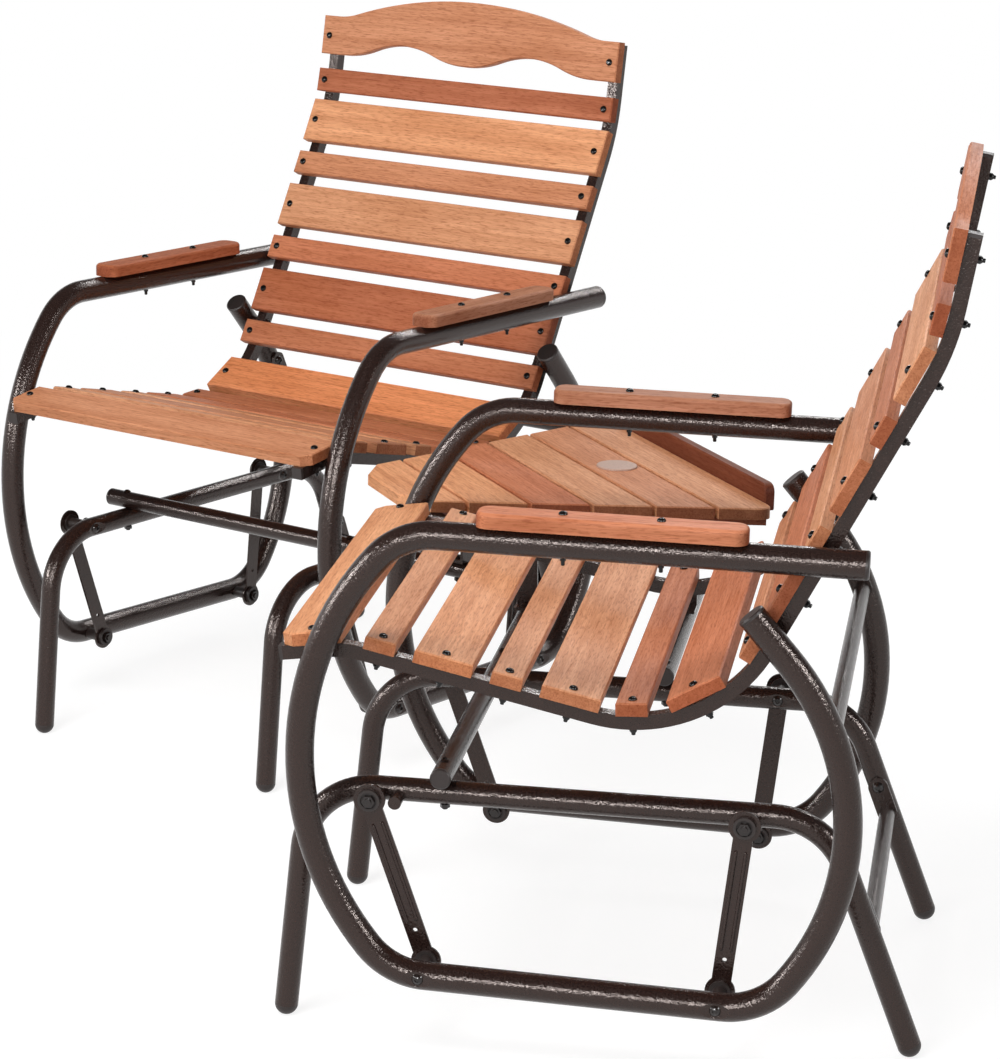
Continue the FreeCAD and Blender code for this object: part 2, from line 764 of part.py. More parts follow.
# Base frame with holes for its pivots, bolts and stop pin
stop_at = on_line(base_corners[1], base_corners[2], stop_pin_y) - upward * stop_pin_drop
base_body = swept(base_path, disc, base_tube, base_wall)
base_body.translate(across * base_half)
base_skin = solid_sweep(base_path, disc, base_tube)
base_skin.translate(across * base_half)
for at in base_pivots:
    base_body = pressed_dish(base_body, base_skin, at + across * base_inside, across * -1, base_wall)
base_holes = [rod(at, across, pivot_bolt + 2 * bolt_play, 2 * base_half) for at in base_pivots]
base_holes.append(rod(leg_tab_bolt, across, frame_bolt + 2 * bolt_play, base_half))
base_holes.append(rod(stop_at + across * base_half, across, stop_pin + 2 * running_play, base_tube))
cross_hole = rod(pt(cross_y, cross_base.z - base_tube, base_half), upward, carry_bolt + 2 * bolt_play,
                 2 * base_tube)
support_hole = rod(pt(support_y, support_base.z - base_tube, base_half), upward,
                   carry_bolt + 2 * bolt_play, 2 * base_tube)
for hole in base_holes + [cross_hole]:
    base_body = base_body.cut(hole)
base_inner = other_side(base_body.cut(support_hole))
stop = rod(stop_at + across * base_half, across, stop_pin, link_in - stop_pin_gap - base_half)


def foot(corner, down):
    """Round foot on a leg end with a small flat on the ground and a spigot in the tube."""
    ball = Part.makeSphere(base_tube / 2, corner)
    size = 4 * base_tube
    keep = Part.makeBox(size, size, size, Vector(-size / 2, -size / 2, 0))
    keep.Placement = Placement(corner, Rotation(upward, down))
    ground = Part.makeBox(2 * size, 2 * size, size, Vector(corner.x - size, corner.y - size, -size))
    spigot = rod(corner - down * plug_depth, down, base_tube - 2 * (base_wall + plug_play), plug_depth)
    return ball.common(keep).cut(ground).fuse(spigot).removeSplitter()


foot_caps = []
for corner, down in ((base_corners[0], (base_corners[0] - base_corners[1]).normalize()),
                     (base_corners[3], rear_leg_up * -1)):
    cap = foot(corner, down)
    cap.translate(across * base_half)
    foot_caps.append(cap)

# Table, drawn level with its top at z = 0 and its front edge at y = 0
table_depth = table_slat_count * table_slat + (table_slat_count - 1) * table_gap


def rounded_corner(before, corner, after, radius):
    """Edges of a path that turns a corner with a radius: the arc only."""
    return bent_path([before, corner, after], [radius])[1]


side_front = Vector(table_edge(table_clip), table_clip, 0)
side_rear = Vector(table_edge(table_depth), table_depth, 0)
rear_arc_edge = rounded_corner(side_front, side_rear, Vector(0, table_depth, 0), table_corner)
arc_first = rear_arc_edge.valueAt(rear_arc_edge.FirstParameter)
arc_last = rear_arc_edge.valueAt(rear_arc_edge.LastParameter)
half_edges = [Part.makeLine(Vector(0, 0, 0), Vector(table_front_half, 0, 0)),
              Part.makeLine(Vector(table_front_half, 0, 0), side_front),
              Part.makeLine(side_front, arc_first), rear_arc_edge,
              Part.makeLine(arc_last, Vector(0, table_depth, 0))]
table_outline = Part.Wire(Part.__sortEdges__(half_edges + [other_side(edge) for edge in half_edges]))
table_top = Part.Face(table_outline).extrude(upward * -table_thick).removeSplitter()
table_slats = []
umbrella_y = (table_slat_count - 2) * (table_slat + table_gap) + table_slat / 2 + umbrella_back
for i in range(table_slat_count):
    start = i * (table_slat + table_gap)
    strip = Part.makeBox(4 * table_depth, table_slat, 2 * table_thick,
                         Vector(-2 * table_depth, start, -1.5 * table_thick))
    board = table_top.common(strip).Solids[0]
    board = board.makeChamfer(slat_ease, top_edges(board))
    if i == table_slat_count - 2:
        board = board.cut(rod(Vector(0, umbrella_y, -table_thick), upward, umbrella_hole, 2 * table_thick))
    table_slats.append(board)
umbrella_plug = rod(Vector(0, umbrella_y, 0), upward, umbrella_disc, umbrella_disc_high)
umbrella_plug = umbrella_plug.makeFillet(umbrella_disc_high * 0.6, top_edges(umbrella_plug))
umbrella_plug = umbrella_plug.fuse(rod(Vector(0, umbrella_y, -umbrella_plug_deep), upward,
                                       umbrella_hole - 2 * bolt_play, umbrella_plug_deep)).removeSplitter()
cleat_ends = (cleat_front + table_clip, table_depth - cleat_rear)
cleat_corners = [Vector(table_edge(cleat_ends[0]) - cleat_out, cleat_ends[0], -table_thick),
                 Vector(table_edge(cleat_ends[1]) - cleat_out, cleat_ends[1], -table_thick),
                 Vector(table_edge(cleat_ends[1]) - cleat_in, cleat_ends[1], -table_thick),
                 Vector(table_edge(cleat_ends[0]) - cleat_in, cleat_ends[0], -table_thick)]
cleat = Part.Face(Part.makePolygon(cleat_corners + cleat_corners[:1])).extrude(upward * -cleat_thick)
board_outline = bent_path([Vector(-board_half, 0, -board_below), Vector(-board_half, 0, board_above),
                           Vector(board_half, 0, board_above), Vector(board_half, 0, -board_below)],
                          [board_corner, board_corner])
board_outline.append(Part.makeLine(Vector(board_half, 0, -board_below), Vector(-board_half, 0, -board_below)))
back_board = Part.Face(Part.Wire(board_outline)).extrude(Vector(0, board_thick, 0))
back_board = back_board.makeChamfer(slat_ease, [edge for edge in back_board.Edges
                                                if edge.BoundBox.YMax < 0.01 or
                                                edge.BoundBox.YMin > board_thick - 0.01])
back_board.translate(Vector(0, table_depth, 0))
table_place = Placement(Vector(0, table_front_y, table_front_z), Rotation(across, -table_fall))
table_pieces = table_slats + [umbrella_plug, cleat, back_board]
for piece in table_pieces:
    piece.Placement = table_place.multiply(piece.Placement)

# Posts: bent straps from the tubes up to the cleats, cut off along the underside of the cleats
above_cleats = Part.makeBox(6 * table_depth, 6 * table_depth, table_depth,
                            Vector(-3 * table_depth, -3 * table_depth, -table_thick - cleat_thick))
above_cleats.Placement = table_place
above_cleats.Placement = chair_place.inverse().multiply(above_cleats.Placement)


def post(y, z):
    bolt_x = -post_spot(y)
    foot_x = bolt_x + post_bolt_in
    web_x = foot_x - post_flange
    foot_z = z + cross_tube / 2
    spot = chair_place.multVec(pt(y, 0, bolt_x))
    under = table_place.multVec(Vector(spot.x, spot.y - table_front_y, -table_thick - cleat_thick))
    high = under.z + post_thick
    outline = [Vector(foot_x, 0, foot_z), Vector(web_x, 0, foot_z), Vector(web_x, 0, high),
               Vector(foot_x, 0, high), Vector(foot_x, 0, under.z - post_thick),
               Vector(web_x + post_thick, 0, under.z - post_thick),
               Vector(web_x + post_thick, 0, foot_z + post_thick), Vector(foot_x, 0, foot_z + post_thick)]
    strap = Part.Face(Part.makePolygon(outline + outline[:1])).extrude(Vector(0, post_width, 0))
    strap.translate(Vector(0, y - post_width / 2, 0))
    hole = rod(pt(y, foot_z - post_thick, bolt_x), upward, carry_bolt + 2 * bolt_play, 3 * post_thick)
    return strap.cut(above_cleats).cut(hole)


posts = [post(cross_y, cross_z), post(support_y, support_z)]

# Nodes: chair pieces for the right chair, mirrored for the left chair, then the shared pieces
chair_nodes = {
    "side_frame_outer": [frame_tube_body],
    "side_frame_inner": [other_side(frame_tube_body)],
    "slat_rail_outer": [rail_body],
    "slat_rail_inner": [other_side(rail_body)],
    "seat_slats_wide": seat_wide,
    "seat_slats_narrow": seat_narrow,
    "back_slats_wide": back_wide,
    "back_slats_narrow": back_narrow,
    "crest_slat": [crest_slat],
    "arm_boards": both_sides([arm_board]),
    "seat_brace": [seat_brace],
    "frame_bolts": both_sides(frame_bolts),
    "frame_plugs": both_sides(frame_plugs),
    "seat_pivot_bolts": both_sides(seat_pins),
    "seat_pivot_bushings": both_sides(seat_bushings),
    "front_links": both_sides([front_link]),
    "rear_links": both_sides([rear_link]),
    "base_outer": [base_body],
    "base_inner": [base_inner],
    "cross_tube": [cross_body],
    "rear_support": [support_body],
    "leg_brace": [leg_brace],
}
shared_nodes = {
    "table_posts": posts,
    "foot_caps": both_sides(foot_caps),
    "tube_plugs": base_plugs,
    "base_pivot_bolts": both_sides(base_pins),
    "base_pivot_bushings": both_sides(base_bushings),
    "base_bolts": base_bolts,
    "stop_pins": both_sides([stop]),
}


def in_place(shapes):
    """Pieces of the right chair moved from the chair's own frame to the bench."""
    moved = []
    for shape in shapes:
        copy = shape.copy()
        copy.Placement = chair_place.multiply(copy.Placement)
        moved.append(copy)
    return moved


nodes = {}
for name, shapes in chair_nodes.items():
    nodes["right_" + name] = in_place(shapes)
    nodes["left_" + name] = [other_side(shape) for shape in nodes["right_" + name]]
for name, shapes in shared_nodes.items():
    nodes[name] = both_sides(in_place(shapes))
for i in range(table_slat_count):
    nodes["table_slat_" + str(i + 1)] = [table_slats[i]]
nodes["table_cleats"] = both_sides([cleat])
nodes["table_back_board"] = [back_board]
nodes["umbrella_plug"] = [umbrella_plug]

# The origin goes to the middle of the bench on the ground
whole = Part.makeCompound([shape for shapes in nodes.values() for shape in shapes])
box = whole.optimalBoundingBox(False, False)
middle = Vector(0, -(box.YMin + box.YMax) / 2, 0)

os.makedirs("parts", exist_ok=True)
for name, shapes in nodes.items():
    solids = []
    for shape in shapes:
        copy = shape.copy()
        copy.translate(middle)
        solids += copy.Solids
    body = solids[0] if len(solids) == 1 else Part.makeCompound(solids)
    body.exportStep("parts/" + name + ".step")
print("moved back by", round(-middle.y, 3), "size", [round(v, 1) for v in
      (box.XLength, box.YLength, box.ZLength)], "ground", round(box.ZMin, 4))
print("rail length", round(rail_length, 2), "nodes", len(nodes))
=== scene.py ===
# %% [markdown]
# # A tete-a-tete glider bench
# Two glider chairs face each other a little across a small corner table. The frame is made in CAD, and
# this lesson gives it its looks: oiled hardwood, dark bronze powder coat, bolts, floor and light.
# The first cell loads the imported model. It stays as it is: we only give it finishes and add small parts.

# %% Load the frame
import math

import bmesh
import bpy
from mathutils import Matrix, Vector
from mathutils.bvhtree import BVHTree


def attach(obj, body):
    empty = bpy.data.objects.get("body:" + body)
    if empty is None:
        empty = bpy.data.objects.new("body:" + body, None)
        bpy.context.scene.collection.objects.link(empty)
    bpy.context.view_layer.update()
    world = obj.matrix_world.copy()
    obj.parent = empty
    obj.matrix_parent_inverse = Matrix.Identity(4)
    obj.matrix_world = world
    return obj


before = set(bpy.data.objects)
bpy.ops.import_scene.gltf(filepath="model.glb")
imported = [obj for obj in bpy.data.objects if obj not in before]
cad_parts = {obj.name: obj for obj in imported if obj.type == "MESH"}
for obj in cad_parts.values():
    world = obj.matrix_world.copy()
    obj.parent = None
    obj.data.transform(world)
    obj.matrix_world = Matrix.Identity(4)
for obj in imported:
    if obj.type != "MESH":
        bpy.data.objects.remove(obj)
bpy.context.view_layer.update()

# %% [markdown]
# ## Where the chairs stand
# Each chair is turned away from the middle line by the same angle, and the left one is the mirror image of
# the right one. It is easiest to think inside one chair: x across, y to the back, z up. One matrix for each
# chair takes such a point to the bench, so bolts are placed with the same numbers on both sides.

# %% Chair frames
CHAIR_TURN = math.radians(31.2)
CHAIR_SPREAD = 0.3845
BENCH_MIDDLE = 0.285806

right_chair = Matrix.Translation((CHAIR_SPREAD, -BENCH_MIDDLE, 0)) @ Matrix.Rotation(-CHAIR_TURN, 4, "Z")
mirror = Matrix.Scale(-1, 4, (1, 0, 0))
chairs = {"right": right_chair, "left": mirror @ right_chair}
for side, place in chairs.items():
    print(side, "chair stands at", [round(v, 3) for v in place.translation])

# %% [markdown]
# ## Camera
# The camera was worked out from the photograph: its place, its direction and its focal length. A long lens
# keeps both chairs nearly the same size. The three axes make the rotation, and a small shift puts the
# optical centre where it was, because the picture had been cropped.

# %% Camera
PHOTO_WIDTH, PHOTO_HEIGHT = 1000, 1059
FOCAL_LENGTH_PIXELS = 3454.3
OPTICAL_CENTRE_PIXELS = (431.27, 480.79)
SENSOR_WIDTH = 36.0
CAMERA_PLACE = Vector((4.0349, -1.3113 - BENCH_MIDDLE, 1.5881))
CAMERA_ROLL = 0.0034775

camera_right = Vector((0.35863, 0.93348, 0.0))
camera_forward = Vector((-0.90339, 0.34707, -0.25184)).normalized()
camera_up = camera_right.cross(camera_forward).normalized()
axis_x = camera_right * math.cos(CAMERA_ROLL) - camera_up * math.sin(CAMERA_ROLL)
axis_y = camera_right * math.sin(CAMERA_ROLL) + camera_up * math.cos(CAMERA_ROLL)

camera = bpy.data.objects.new("camera", bpy.data.cameras.new("camera"))
bpy.context.collection.objects.link(camera)
turn = Matrix((axis_x, axis_y, -camera_forward)).transposed().to_4x4()
camera.matrix_world = Matrix.Translation(CAMERA_PLACE) @ turn
camera.data.sensor_fit = "HORIZONTAL"
camera.data.sensor_width = SENSOR_WIDTH
camera.data.lens = FOCAL_LENGTH_PIXELS / PHOTO_WIDTH * SENSOR_WIDTH
camera.data.shift_x = (PHOTO_WIDTH / 2 - OPTICAL_CENTRE_PIXELS[0]) / PHOTO_WIDTH
camera.data.shift_y = (OPTICAL_CENTRE_PIXELS[1] - PHOTO_HEIGHT / 2) / PHOTO_WIDTH
camera.data.clip_end = 60
bpy.context.scene.camera = camera
print("camera lens", round(camera.data.lens, 1), "mm")

# %% [markdown]
# ## Shader nodes
# Every finish is a small tree of shader nodes. Three helpers keep the next cells short: one makes an empty
# material, one adds a node with its inputs, and one joins the last shader to the output. The Standard view
# shows colours as they are written, without a film look.

# %% Shader nodes
scene = bpy.context.scene
scene.view_settings.view_transform = "Standard"


def new_material(name):
    material = bpy.data.materials.new(name)
    material.use_nodes = True
    material.node_tree.nodes.clear()
    return material, material.node_tree


def add_node(tree, kind, inputs=None, **settings):
    """New shader node with its settings; an input gets a number, a colour or another node's output."""
    node = tree.nodes.new(kind)
    for key, value in settings.items():
        setattr(node, key, value)
    for key, value in (inputs or {}).items():
        if isinstance(value, bpy.types.NodeSocket):
            tree.links.new(value, node.inputs[key])
        else:
            node.inputs[key].default_value = value
    return node


def finish_material(tree, shader):
    output = add_node(tree, "ShaderNodeOutputMaterial")
    tree.links.new(shader, output.inputs["Surface"])


print("view:", scene.view_settings.view_transform)

# %% [markdown]
# ## Floor
# A furniture picture is taken on white paper. A lit floor alone would come out grey, and more light on it
# would bleach the wood. So the paper is lit and takes the shadow, but the camera and the reflections see it
# almost white, and pure white further away.

# %% Floor
WHITE = (1, 1, 1, 1)
FLOOR_SIZE = 80
NEAR_PAPER, FAR_PAPER = 1.3, 3.2
PAPER_GREY = 0.55
SHADOW_SHARE = 0.25
PAPER_GLOW = 0.84

bpy.ops.mesh.primitive_plane_add(size=FLOOR_SIZE, location=(0, 0, 0))
floor = bpy.context.object
floor.name = "floor"
paper, tree = new_material("white_paper")
path = add_node(tree, "ShaderNodeLightPath")
direct = add_node(tree, "ShaderNodeMath",
                  {0: path.outputs["Is Camera Ray"], 1: path.outputs["Is Glossy Ray"]}, operation="MAXIMUM")
seen = add_node(tree, "ShaderNodeMath", {0: direct.outputs[0], 1: path.outputs["Is Transmission Ray"]},
                operation="MAXIMUM")
spot = add_node(tree, "ShaderNodeTexCoord")
distance = add_node(tree, "ShaderNodeVectorMath", {0: spot.outputs["Object"]}, operation="LENGTH")
far_off = add_node(tree, "ShaderNodeMapRange", {"Value": distance.outputs["Value"], "From Min": NEAR_PAPER,
                                                "From Max": FAR_PAPER}, interpolation_type="SMOOTHSTEP")
lit_paper = add_node(tree, "ShaderNodeBsdfDiffuse", {"Color": (PAPER_GREY, PAPER_GREY, PAPER_GREY, 1)})
shaded = add_node(tree, "ShaderNodeBsdfDiffuse", {"Color": (SHADOW_SHARE, SHADOW_SHARE, SHADOW_SHARE, 1)})
glow = add_node(tree, "ShaderNodeEmission", {"Color": WHITE, "Strength": PAPER_GLOW})
white_glow = add_node(tree, "ShaderNodeEmission", {"Color": WHITE, "Strength": 1.0})
near_look = add_node(tree, "ShaderNodeAddShader", {0: shaded.outputs[0], 1: glow.outputs[0]})
look = add_node(tree, "ShaderNodeMixShader", {0: far_off.outputs["Result"], 1: near_look.outputs[0],
                                              2: white_glow.outputs[0]})
paper_shader = add_node(tree, "ShaderNodeMixShader", {0: seen.outputs[0], 1: lit_paper.outputs[0],
                                                      2: look.outputs[0]})
finish_material(tree, paper_shader.outputs[0])
floor.data.materials.append(paper)
print("floor:", FLOOR_SIZE, "m, white from", FAR_PAPER, "m on")

# %% [markdown]
# ## World
# The world gives even light from all sides, which fills the shadows. A studio's walls are dark, so the
# reflections find the world white only near the horizon. The camera itself sees it plain white.

# %% World
WORLD_LIGHT = 0.36
DARK_CEILING = 0.10
HORIZON_BAND = (0.12, 0.40)

world = bpy.data.worlds.new("studio")
scene.world = world
world.use_nodes = True
tree = world.node_tree
tree.nodes.clear()
path = add_node(tree, "ShaderNodeLightPath")
clear_view = add_node(tree, "ShaderNodeMath", {0: path.outputs["Is Camera Ray"],
                                               1: path.outputs["Is Transmission Ray"]}, operation="MAXIMUM")
direction = add_node(tree, "ShaderNodeTexCoord")
upward = add_node(tree, "ShaderNodeSeparateXYZ", {"Vector": direction.outputs["Generated"]})
ceiling = add_node(tree, "ShaderNodeMapRange", {"Value": upward.outputs["Z"], "From Min": HORIZON_BAND[0],
                                                "From Max": HORIZON_BAND[1], "To Min": 1.0,
                                                "To Max": DARK_CEILING})
even = add_node(tree, "ShaderNodeBackground", {"Color": WHITE, "Strength": WORLD_LIGHT})
mirrored = add_node(tree, "ShaderNodeBackground", {"Color": WHITE, "Strength": ceiling.outputs["Result"]})
white = add_node(tree, "ShaderNodeBackground", {"Color": WHITE, "Strength": 1.0})
lighting = add_node(tree, "ShaderNodeMixShader", {0: path.outputs["Is Glossy Ray"], 1: even.outputs[0],
                                                  2: mirrored.outputs[0]})
either = add_node(tree, "ShaderNodeMixShader", {0: clear_view.outputs[0], 1: lighting.outputs[0],
                                                2: white.outputs[0]})
sky = add_node(tree, "ShaderNodeOutputWorld")
tree.links.new(either.outputs[0], sky.inputs["Surface"])
print("world light:", WORLD_LIGHT)

# %% [markdown]
# ## Lamps
# Two wide soft lamps on the camera's left, one high and one low, light the bench. In reflections they would
# be a pale blur, so they are kept out of those. Narrow strips do the opposite: they only shine, and draw
# thin lines of light along the tubes. A weak lamp behind does both. Together with the world the lamps light
# a surface to about its own colour.

# %% Lamps
BENCH_HEART = Vector((0, 0, 0.4))


def studio_lamp(name, place, size, power, lights=True, shines=True):
    """Flat lamp facing the bench: lights is for dull surfaces, shines for reflections."""
    data = bpy.data.lights.new(name, "AREA")
    data.shape = "RECTANGLE"
    data.size, data.size_y = size
    data.energy = power
    lamp = bpy.data.objects.new(name, data)
    bpy.context.collection.objects.link(lamp)
    lamp.location = place
    lamp.rotation_euler = (BENCH_HEART - Vector(place)).to_track_quat("-Z", "Y").to_euler()
    lamp.visible_camera = False
    lamp.visible_diffuse = lights
    lamp.visible_glossy = shines


studio_lamp("key_lamp", (1.25, -1.75, 3.4), (1.8, 1.8), 90, shines=False)
studio_lamp("fill_lamp", (2.6, -3.2, 1.6), (2.2, 1.6), 46, shines=False)
studio_lamp("front_strip", (3.2, -2.3, 1.7), (2.8, 0.16), 110, lights=False)
studio_lamp("left_strip", (-0.3, -3.7, 1.5), (1.8, 0.16), 80, lights=False)
studio_lamp("right_strip", (3.3, 1.9, 1.75), (1.2, 0.2), 60, lights=False)
studio_lamp("rear_strip", (-1.6, 1.9, 2.16), (2.4, 0.08), 30, lights=False)
studio_lamp("rear_lamp", (-1.6, 1.9, 2.6), (2.4, 0.25), 18)

# %% [markdown]
# ## Boards of a node
# A slat node holds several boards. We take them apart by their connected faces, which tells us later where
# a bolt goes, and here where one board ends and the next begins. The middle of each gap is a good place to
# change the tone of the wood, because no board lies there.


# %% Boards of a node
def loose_boards(node):
    """Point lists of the separate boards in a node, each with the normal of its largest face."""
    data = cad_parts[node].data
    group = {}

    def find(key):
        while group[key] != key:
            group[key] = group[group[key]]
            key = group[key]
        return key

    keys = [tuple(round(v, 5) for v in vertex.co) for vertex in data.vertices]
    for key in keys:
        group.setdefault(key, key)
    for face in data.polygons:
        first = find(keys[face.vertices[0]])
        for index in face.vertices[1:]:
            group[find(keys[index])] = first
    found = {}
    for face in data.polygons:
        entry = found.setdefault(find(keys[face.vertices[0]]), {"area": 0.0, "points": []})
        entry["points"] += [data.vertices[index].co for index in face.vertices]
        if face.area > entry["area"]:
            entry["area"], entry["normal"] = face.area, face.normal.copy()
    return [(entry["points"], entry["normal"]) for entry in found.values()]


def gap_middles(nodes, to_board, axis):
    """Middles of the gaps between boards that follow each other along an axis of the boards' frame."""
    number = "xyz".index(axis)
    spans = []
    for node in nodes:
        for points, _ in loose_boards(node):
            places = [(to_board @ point)[number] for point in points]
            spans.append((min(places), max(places)))
    spans.sort()
    return [(one[1] + two[0]) / 2 for one, two in zip(spans, spans[1:])]


for node in ("right_seat_slats_wide", "right_seat_slats_narrow"):
    print(node, "boards:", len(loose_boards(node)))

# %% [markdown]
# ## Hardwood
# The boards are an oiled tropical hardwood: orange brown, with broad soft bands, fine dark pores along the
# grain, and a tone that changes from board to board. The grain is noise that is stretched along the board.
# The coordinates are turned into the chair's own frame first, so the fibres follow each board. A stepped
# ramp across the boards then gives each board its own tone. The end faces get a darker tint: sawn ends
# drink more oil and are darker, and the tint adds a painted shade on these upright faces, which get less
# light from above than the tops. The ends of the table's boards are the darkest: end grain with a painted
# shade of the chair beside the table.


# %% Hardwood
# End-face tints: darker end grain with a painted shade added; the table's board ends get the most painted
# shade.
END_GRAIN_AND_SHADE = (0.74, 0.58, 0.50)
TABLE_END_GRAIN_AND_SHADE = (0.34, 0.25, 0.21)
UNTINTED = (1.0, 1.0, 1.0)
RAMP_MARGIN = 0.5


def hardwood(name, to_board, along, step_axis, edges, tones, end_grain_and_shade=END_GRAIN_AND_SHADE):
    """Oiled wood. to_board takes bench coordinates to the boards' frame, along is the grain's axis there,
    edges are the places along step_axis where the next board starts, and tones are their colours. The last
    argument darkens the end faces: darker end grain with painted shade."""
    material, tree = new_material(name)
    where = add_node(tree, "ShaderNodeTexCoord")
    place, rotation, scale = to_board.decompose()
    own = add_node(tree, "ShaderNodeMapping", {"Vector": where.outputs["Object"], "Location": place,
                                               "Rotation": rotation.to_euler(), "Scale": scale})
    point = own.outputs["Vector"]

    def grain(lengthwise, crosswise, **inputs):
        stretch = [crosswise, crosswise, crosswise]
        stretch["xyz".index(along)] = lengthwise
        scaled = add_node(tree, "ShaderNodeMapping", {"Vector": point, "Scale": stretch})
        values = {"Vector": scaled.outputs["Vector"], "Scale": 1.0, **inputs}
        return add_node(tree, "ShaderNodeTexNoise", values).outputs["Fac"]

    blotches = grain(5.0, 22.0, Detail=2.0, Roughness=0.5)
    bands = grain(2.2, 55.0, Detail=3.0, Roughness=0.6, Distortion=0.8)
    fibres = grain(14.0, 330.0, Detail=3.0, Roughness=0.6)
    pores = grain(75.0, 620.0, Detail=2.0, Roughness=0.55)

    split = add_node(tree, "ShaderNodeSeparateXYZ", {"Vector": point})
    low, high = edges[0] - RAMP_MARGIN, edges[-1] + RAMP_MARGIN
    position = add_node(tree, "ShaderNodeMapRange", {"Value": split.outputs[step_axis.upper()],
                                                     "From Min": low, "From Max": high})
    steps = add_node(tree, "ShaderNodeValToRGB", {"Fac": position.outputs["Result"]})
    steps.color_ramp.interpolation = "CONSTANT"
    stops = steps.color_ramp.elements
    stops[0].position, stops[0].color = 0.0, (*tones[0], 1)
    stops.remove(stops[1])
    for edge, tone in zip(edges, tones[1:]):
        stop = stops.new((edge - low) / (high - low))
        stop.color = (*tone, 1)

    def shade(colour, fac, first, last, start, end):
        """Multiplies a colour by a tint that goes from first to last while fac goes from start to end."""
        ramp = add_node(tree, "ShaderNodeValToRGB", {"Fac": fac})
        ramp.color_ramp.elements[0].position, ramp.color_ramp.elements[0].color = start, (*first, 1)
        ramp.color_ramp.elements[1].position, ramp.color_ramp.elements[1].color = end, (*last, 1)
        mix = add_node(tree, "ShaderNodeMix", {"Factor": 1.0}, data_type="RGBA", blend_type="MULTIPLY")
        tree.links.new(colour, mix.inputs["A"])
        tree.links.new(ramp.outputs["Color"], mix.inputs["B"])
        return mix.outputs["Result"]

    colour = shade(steps.outputs["Color"], blotches, (0.90, 0.84, 0.78), (1.06, 1.08, 1.10), 0.28, 0.72)
    colour = shade(colour, bands, (0.87, 0.80, 0.74), (1.06, 1.08, 1.09), 0.30, 0.70)
    colour = shade(colour, fibres, (0.86, 0.80, 0.76), (1.05, 1.06, 1.07), 0.32, 0.66)
    colour = shade(colour, pores, (0.74, 0.64, 0.57), (1.04, 1.05, 1.05), 0.30, 0.50)
    grain_way = to_board.to_3x3().inverted() @ Vector([axis == along for axis in "xyz"])
    end_on = add_node(tree, "ShaderNodeVectorMath", {0: where.outputs["Normal"], 1: grain_way},
                      operation="DOT_PRODUCT")
    end_on = add_node(tree, "ShaderNodeMath", {0: end_on.outputs["Value"]}, operation="ABSOLUTE")
    # Painted shade: the end faces are darkened beyond their end grain, for the light they miss from above.
    colour = shade(colour, end_on.outputs[0], UNTINTED, end_grain_and_shade, 0.55, 0.95)
    dull = add_node(tree, "ShaderNodeMapRange", {"Value": fibres, "From Min": 0.3, "From Max": 0.7,
                                                 "To Min": 0.62, "To Max": 0.46})
    relief = add_node(tree, "ShaderNodeBump", {"Height": pores, "Strength": 0.35, "Distance": 0.0004})
    shader = add_node(tree, "ShaderNodeBsdfPrincipled",
                      {"Base Color": colour, "Roughness": dull.outputs["Result"],
                       "Normal": relief.outputs["Normal"], "Specular IOR Level": 0.12})
    finish_material(tree, shader.outputs["BSDF"])
    return material


print("end grain tints:", END_GRAIN_AND_SHADE, TABLE_END_GRAIN_AND_SHADE)

# %% [markdown]
# ## Tones of the boards
# No two boards of such a bench come from the same plank, so their tones run from pale straw to brown. The
# table's back board and cleats are coloured a dark umber all through. Each list follows the boards from the
# front to the back of a seat or of the table, from the crook up to the crest of a back, and from the left
# to the right arm.


# %% Tones of the boards
STRAW = (0.77, 0.375, 0.195)
TAN = (0.69, 0.345, 0.190)
HONEY = (0.64, 0.292, 0.158)
AMBER = (0.81, 0.320, 0.142)
COPPER = (0.60, 0.224, 0.115)
BROWN = (0.53, 0.202, 0.102)
HAZEL = (0.46, 0.215, 0.130)
RUSSET = (0.47, 0.158, 0.076)
UMBER = (0.18, 0.052, 0.025)
seat_tones = {"right": [STRAW, TAN, STRAW, TAN, TAN, BROWN],
              "left": [HONEY, TAN, HONEY, TAN, COPPER, BROWN]}
back_tones = {"right": [COPPER, HONEY, COPPER, TAN, HONEY, BROWN, TAN, RUSSET, BROWN],
              "left": [AMBER, BROWN, RUSSET, COPPER, TAN, HONEY, STRAW, RUSSET, HONEY]}
arm_tones = {"right": [HAZEL, COPPER], "left": [RUSSET, HAZEL]}
table_tones = [STRAW, STRAW, COPPER, TAN, HONEY, TAN]
seat_nodes = ("seat_slats_wide", "seat_slats_narrow")
back_nodes = ("back_slats_wide", "back_slats_narrow", "crest_slat")

boards = {}
for side, place in chairs.items():
    spin = CHAIR_TURN if side == "right" else -CHAIR_TURN
    to_chair = Matrix.Rotation(spin, 4, "Z") @ Matrix.Translation(-place.translation)
    seat = [side + "_" + node for node in seat_nodes]
    back = [side + "_" + node for node in back_nodes]
    seat_gaps, back_gaps = gap_middles(seat, to_chair, "y"), gap_middles(back, to_chair, "z")
    seat_wood = hardwood(side + "_seat_wood", to_chair, "x", "y", seat_gaps, seat_tones[side])
    back_wood = hardwood(side + "_back_wood", to_chair, "x", "z", back_gaps, back_tones[side])
    boards.update({node: seat_wood for node in seat})
    boards.update({node: back_wood for node in back})
    boards[side + "_arm_boards"] = hardwood(side + "_arm_wood", to_chair, "y", "x", [0.0], arm_tones[side])
no_turn = Matrix.Identity(4)
table_slats = ["table_slat_" + str(number + 1) for number in range(len(table_tones))]
table_gaps = gap_middles(table_slats, no_turn, "y")
